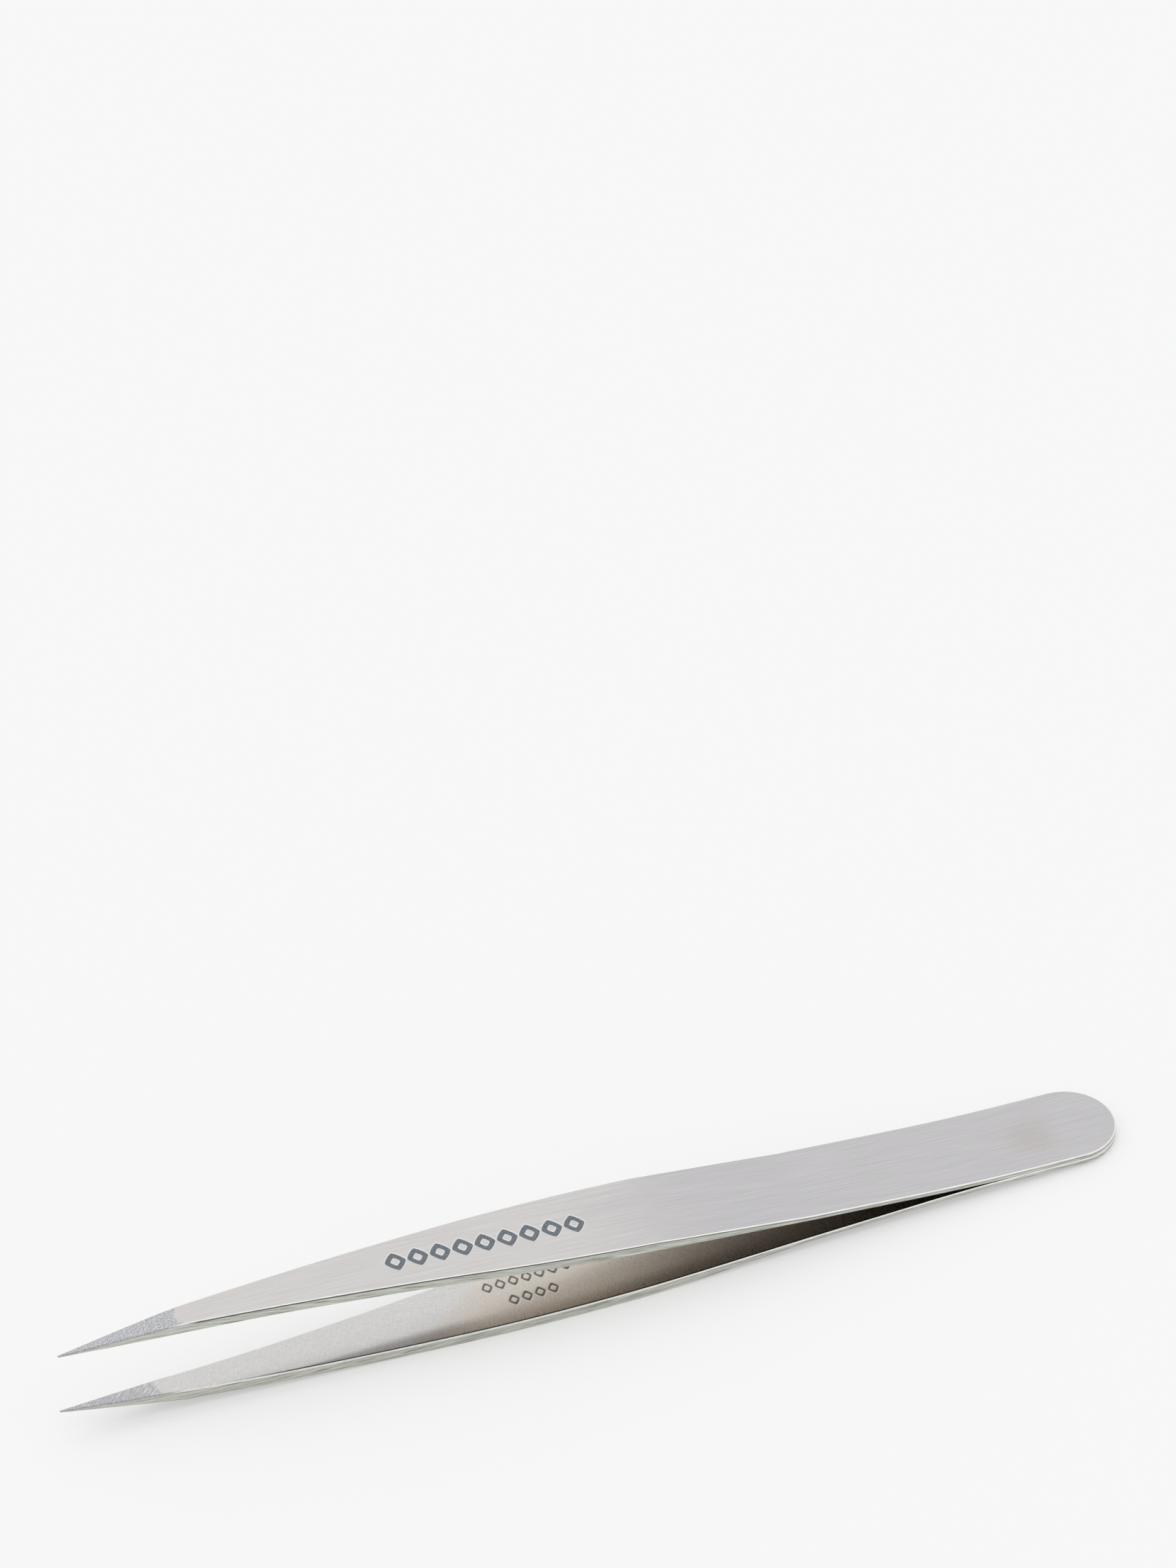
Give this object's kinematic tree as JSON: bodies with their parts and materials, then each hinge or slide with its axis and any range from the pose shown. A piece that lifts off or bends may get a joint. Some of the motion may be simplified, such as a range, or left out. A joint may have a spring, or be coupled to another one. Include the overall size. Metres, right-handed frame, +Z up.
{
  "type": "precision tweezers",
  "caption": "Fine-point spring-steel tweezers: two bowed arms welded face to face at a rounded tail, tapering to sharp points that close when squeezed.",
  "frame": {"origin": "on the surface that the tool lies on, under the middle of its length and width", "axes": "-X towards the points, +X towards the tail, Y across the width, +Z up from the surface, through the gap between the arms"},
  "size_m": [0.11, 0.0098, 0.0111],
  "materials": {
    "steel": "satin stainless steel, ground lengthwise outside and crosswise inside",
    "weld": "as-welded steel, dull"
  },
  "bodies": {
    "tail": {"upper_tail": "steel", "lower_tail": "steel", "weld_nuggets": "weld"},
    "upper_arm": {"upper_blade": "steel"},
    "lower_arm": {"lower_blade": "steel"}
  },
  "joints": [
    {"name": "upper_arm_flex", "type": "hinge", "parent": "tail", "child": "upper_arm", "pos_m": [0.03108, 0, 0.00269], "axis": [0, -1, 0], "range_deg": [0, 2.35], "stiffness_Nm_per_rad": 0.9},
    {"name": "lower_arm_flex", "type": "hinge", "parent": "tail", "child": "lower_arm", "pos_m": [0.031, 0, 0.00115], "axis": [0, 1, 0], "range_deg": [0, 2.35], "stiffness_Nm_per_rad": 0.9}
  ],
  "couplings": [
    {"joint": "lower_arm_flex", "follows": "upper_arm_flex", "ratio": 1}
  ]
}
